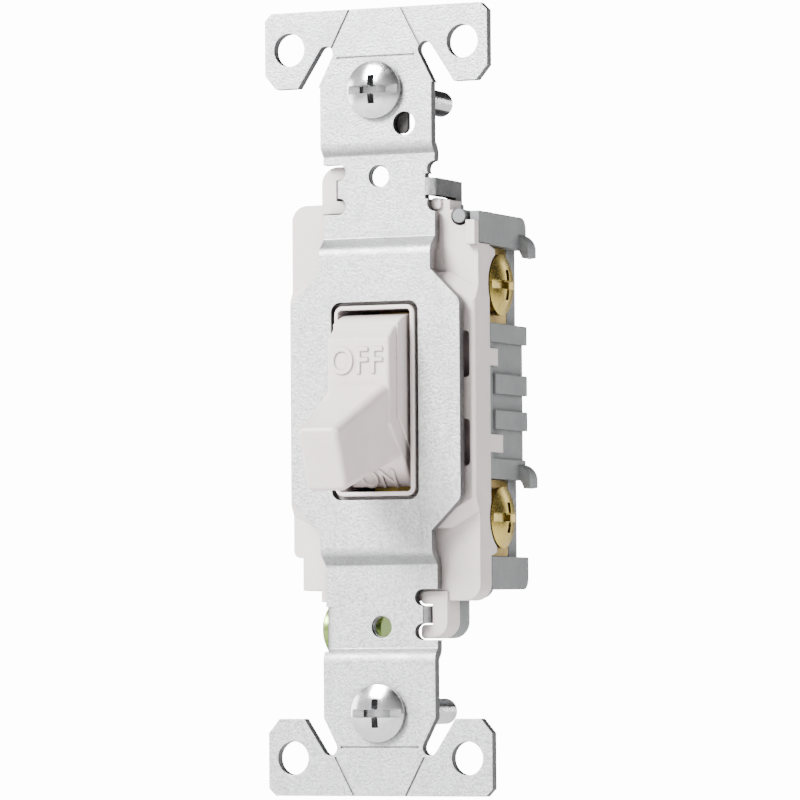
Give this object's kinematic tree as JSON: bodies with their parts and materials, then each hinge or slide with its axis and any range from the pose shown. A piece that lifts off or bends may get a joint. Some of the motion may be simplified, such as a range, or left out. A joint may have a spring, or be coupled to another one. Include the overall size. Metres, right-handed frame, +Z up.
{
  "type": "toggle wall switch",
  "caption": "Single-pole toggle wall switch on a bent steel mounting strap, with a tilting lever, clamping side terminals, a green grounding screw and captive box screws.",
  "frame": {"origin": "centre of the four ear holes, on the back face of the strap's ears", "axes": "+X to the right as seen from the room, towards the terminals; +Y into the wall; +Z up"},
  "size_m": [0.0326, 0.0414, 0.1054],
  "materials": {
    "galvanised_steel": "satin",
    "white_plastic": "satin",
    "toggle_plastic": "satin",
    "grey_plastic": "satin",
    "bright_steel": "polished",
    "brass_screw": "polished",
    "brass_strip": "satin",
    "green_screw": "gloss",
    "fibre": "matte",
    "contact_silver": "polished",
    "spring_steel": "satin",
    "black_rubber": "matte"
  },
  "bodies": {
    "switch_frame": {"mounting_strap": "galvanised_steel", "front_housing": "white_plastic", "rear_housing": "grey_plastic", "screw_retainer_upper": "fibre", "screw_retainer_lower": "fibre", "line_terminal": "brass_strip", "load_terminal": "brass_strip", "fixed_contact": "contact_silver", "arm_pivot_pin": "bright_steel", "toggle_bumper_upper": "black_rubber", "toggle_bumper_lower": "black_rubber", "arc_shield": "fibre", "contact_spring": "spring_steel"},
    "toggle": {"toggle_handle": "toggle_plastic"},
    "contact": {"contact_arm": "brass_strip", "moving_contact": "contact_silver"},
    "box_screw_top": {"mounting_screw_upper": "bright_steel"},
    "box_screw_bottom": {"mounting_screw_lower": "bright_steel"},
    "line_screw": {"terminal_screw_upper": "brass_screw"},
    "load_screw": {"terminal_screw_lower": "brass_screw"},
    "line_clamp": {"pressure_plate_upper": "bright_steel"},
    "load_clamp": {"pressure_plate_lower": "bright_steel"},
    "grounding_screw": {"ground_screw": "green_screw"}
  },
  "joints": [
    {"name": "toggle_tilt", "type": "hinge", "parent": "switch_frame", "child": "toggle", "pos_m": [0, 0.0006, 0], "axis": [-1, 0, 0], "range_deg": [0, 43]},
    {"name": "contact_tilt", "type": "hinge", "parent": "switch_frame", "child": "contact", "pos_m": [0, 0.0123, -0.0096], "axis": [1, 0, 0], "range_deg": [0, 5.5], "deforming": ["contact_spring"]},
    {"name": "box_screw_top_turn", "type": "hinge", "parent": "switch_frame", "child": "box_screw_top", "pos_m": [0, 0, 0.04167], "axis": [0, 1, 0], "continuous": true},
    {"name": "box_screw_bottom_turn", "type": "hinge", "parent": "switch_frame", "child": "box_screw_bottom", "pos_m": [0, 0, -0.04167], "axis": [0, 1, 0], "continuous": true},
    {"name": "line_screw_turn", "type": "hinge", "parent": "switch_frame", "child": "line_screw", "pos_m": [0.013, 0.0091, 0.01563], "axis": [-1, 0, 0], "range_deg": [0, 540]},
    {"name": "load_screw_turn", "type": "hinge", "parent": "switch_frame", "child": "load_screw", "pos_m": [0.013, 0.0091, -0.01563], "axis": [-1, 0, 0], "range_deg": [0, 540]},
    {"name": "line_clamp_slide", "type": "slide", "parent": "switch_frame", "child": "line_clamp", "axis": [1, 0, 0], "range_m": [0, 0.00119]},
    {"name": "load_clamp_slide", "type": "slide", "parent": "switch_frame", "child": "load_clamp", "axis": [1, 0, 0], "range_m": [0, 0.00119]},
    {"name": "ground_screw_turn", "type": "hinge", "parent": "switch_frame", "child": "grounding_screw", "pos_m": [-0.0085, 0.0049, -0.03045], "axis": [1, 0, 0], "continuous": true}
  ],
  "couplings": [
    {"joint": "contact_tilt", "follows": "toggle_tilt", "ratio": 0.1279},
    {"joint": "line_screw_turn", "follows": "line_clamp_slide", "rad_per_m": 7913.3},
    {"joint": "load_screw_turn", "follows": "load_clamp_slide", "rad_per_m": 7913.3}
  ]
}
